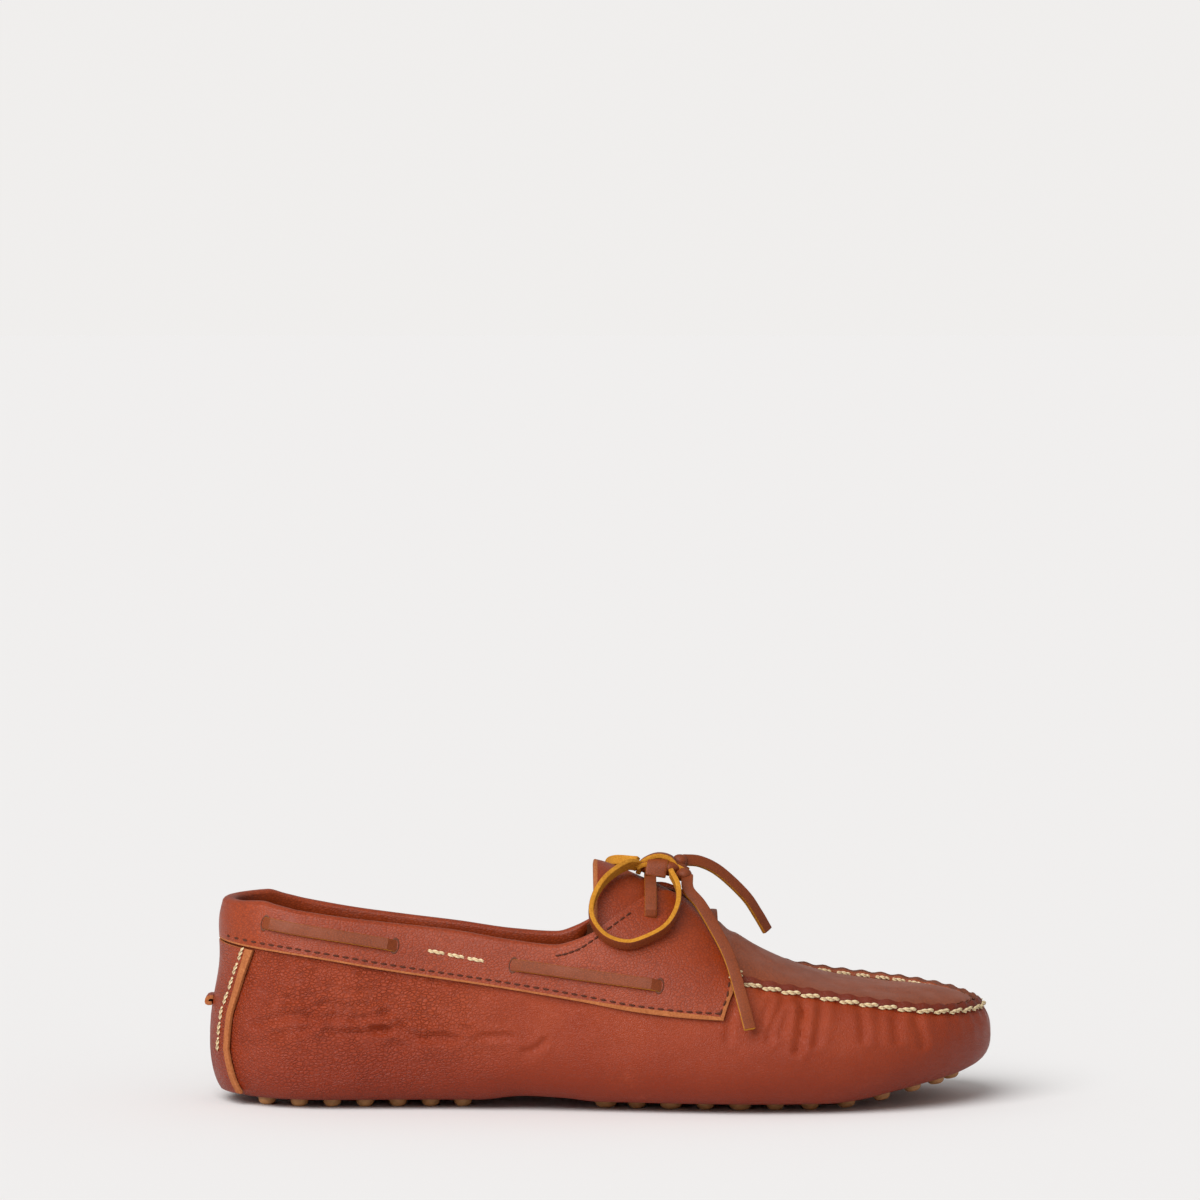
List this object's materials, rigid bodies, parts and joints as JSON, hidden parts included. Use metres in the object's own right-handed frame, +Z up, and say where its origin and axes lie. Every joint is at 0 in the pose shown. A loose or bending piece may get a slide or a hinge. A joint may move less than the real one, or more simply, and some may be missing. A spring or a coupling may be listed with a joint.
{
  "type": "driving loafer",
  "caption": "Hand-sewn leather driving loafer for the right foot: a moccasin wrap and toe apron on rubber pebble pads, with a leather lace tied in a bow.",
  "frame": {"origin": "on the floor under the middle of the shoe's outline, the bow left out", "axes": "+X from heel to toe, +Y towards the inner side of the foot, +Z up"},
  "size_m": [0.251, 0.0893, 0.0783],
  "materials": {
    "wrap_leather": "pebbled, satin",
    "apron_leather": "smooth, satin",
    "lace_leather": "brown grain, ochre flesh side",
    "sock_leather": "matt",
    "gum_rubber": "matt"
  },
  "bodies": {
    "root": {"moccasin_wrap": "wrap_leather", "collar_band": "wrap_leather", "heel_patch": "wrap_leather", "heel_keeper": "wrap_leather", "tongue": "wrap_leather", "apron": "apron_leather", "insole": "sock_leather", "heel_pebble_pad": "gum_rubber", "forefoot_pebble_pad": "gum_rubber", "lace_outer_rear_run": "lace_leather", "lace_outer_front_run": "lace_leather", "lace_inner_rear_run": "lace_leather", "lace_inner_front_run": "lace_leather", "lace_lower_crossing": "lace_leather", "lace_upper_crossing": "lace_leather", "lace_knot": "lace_leather", "lace_outer_loop": "lace_leather", "lace_inner_loop": "lace_leather", "lace_outer_end": "lace_leather", "lace_inner_end": "lace_leather"}
  },
  "joints": []
}
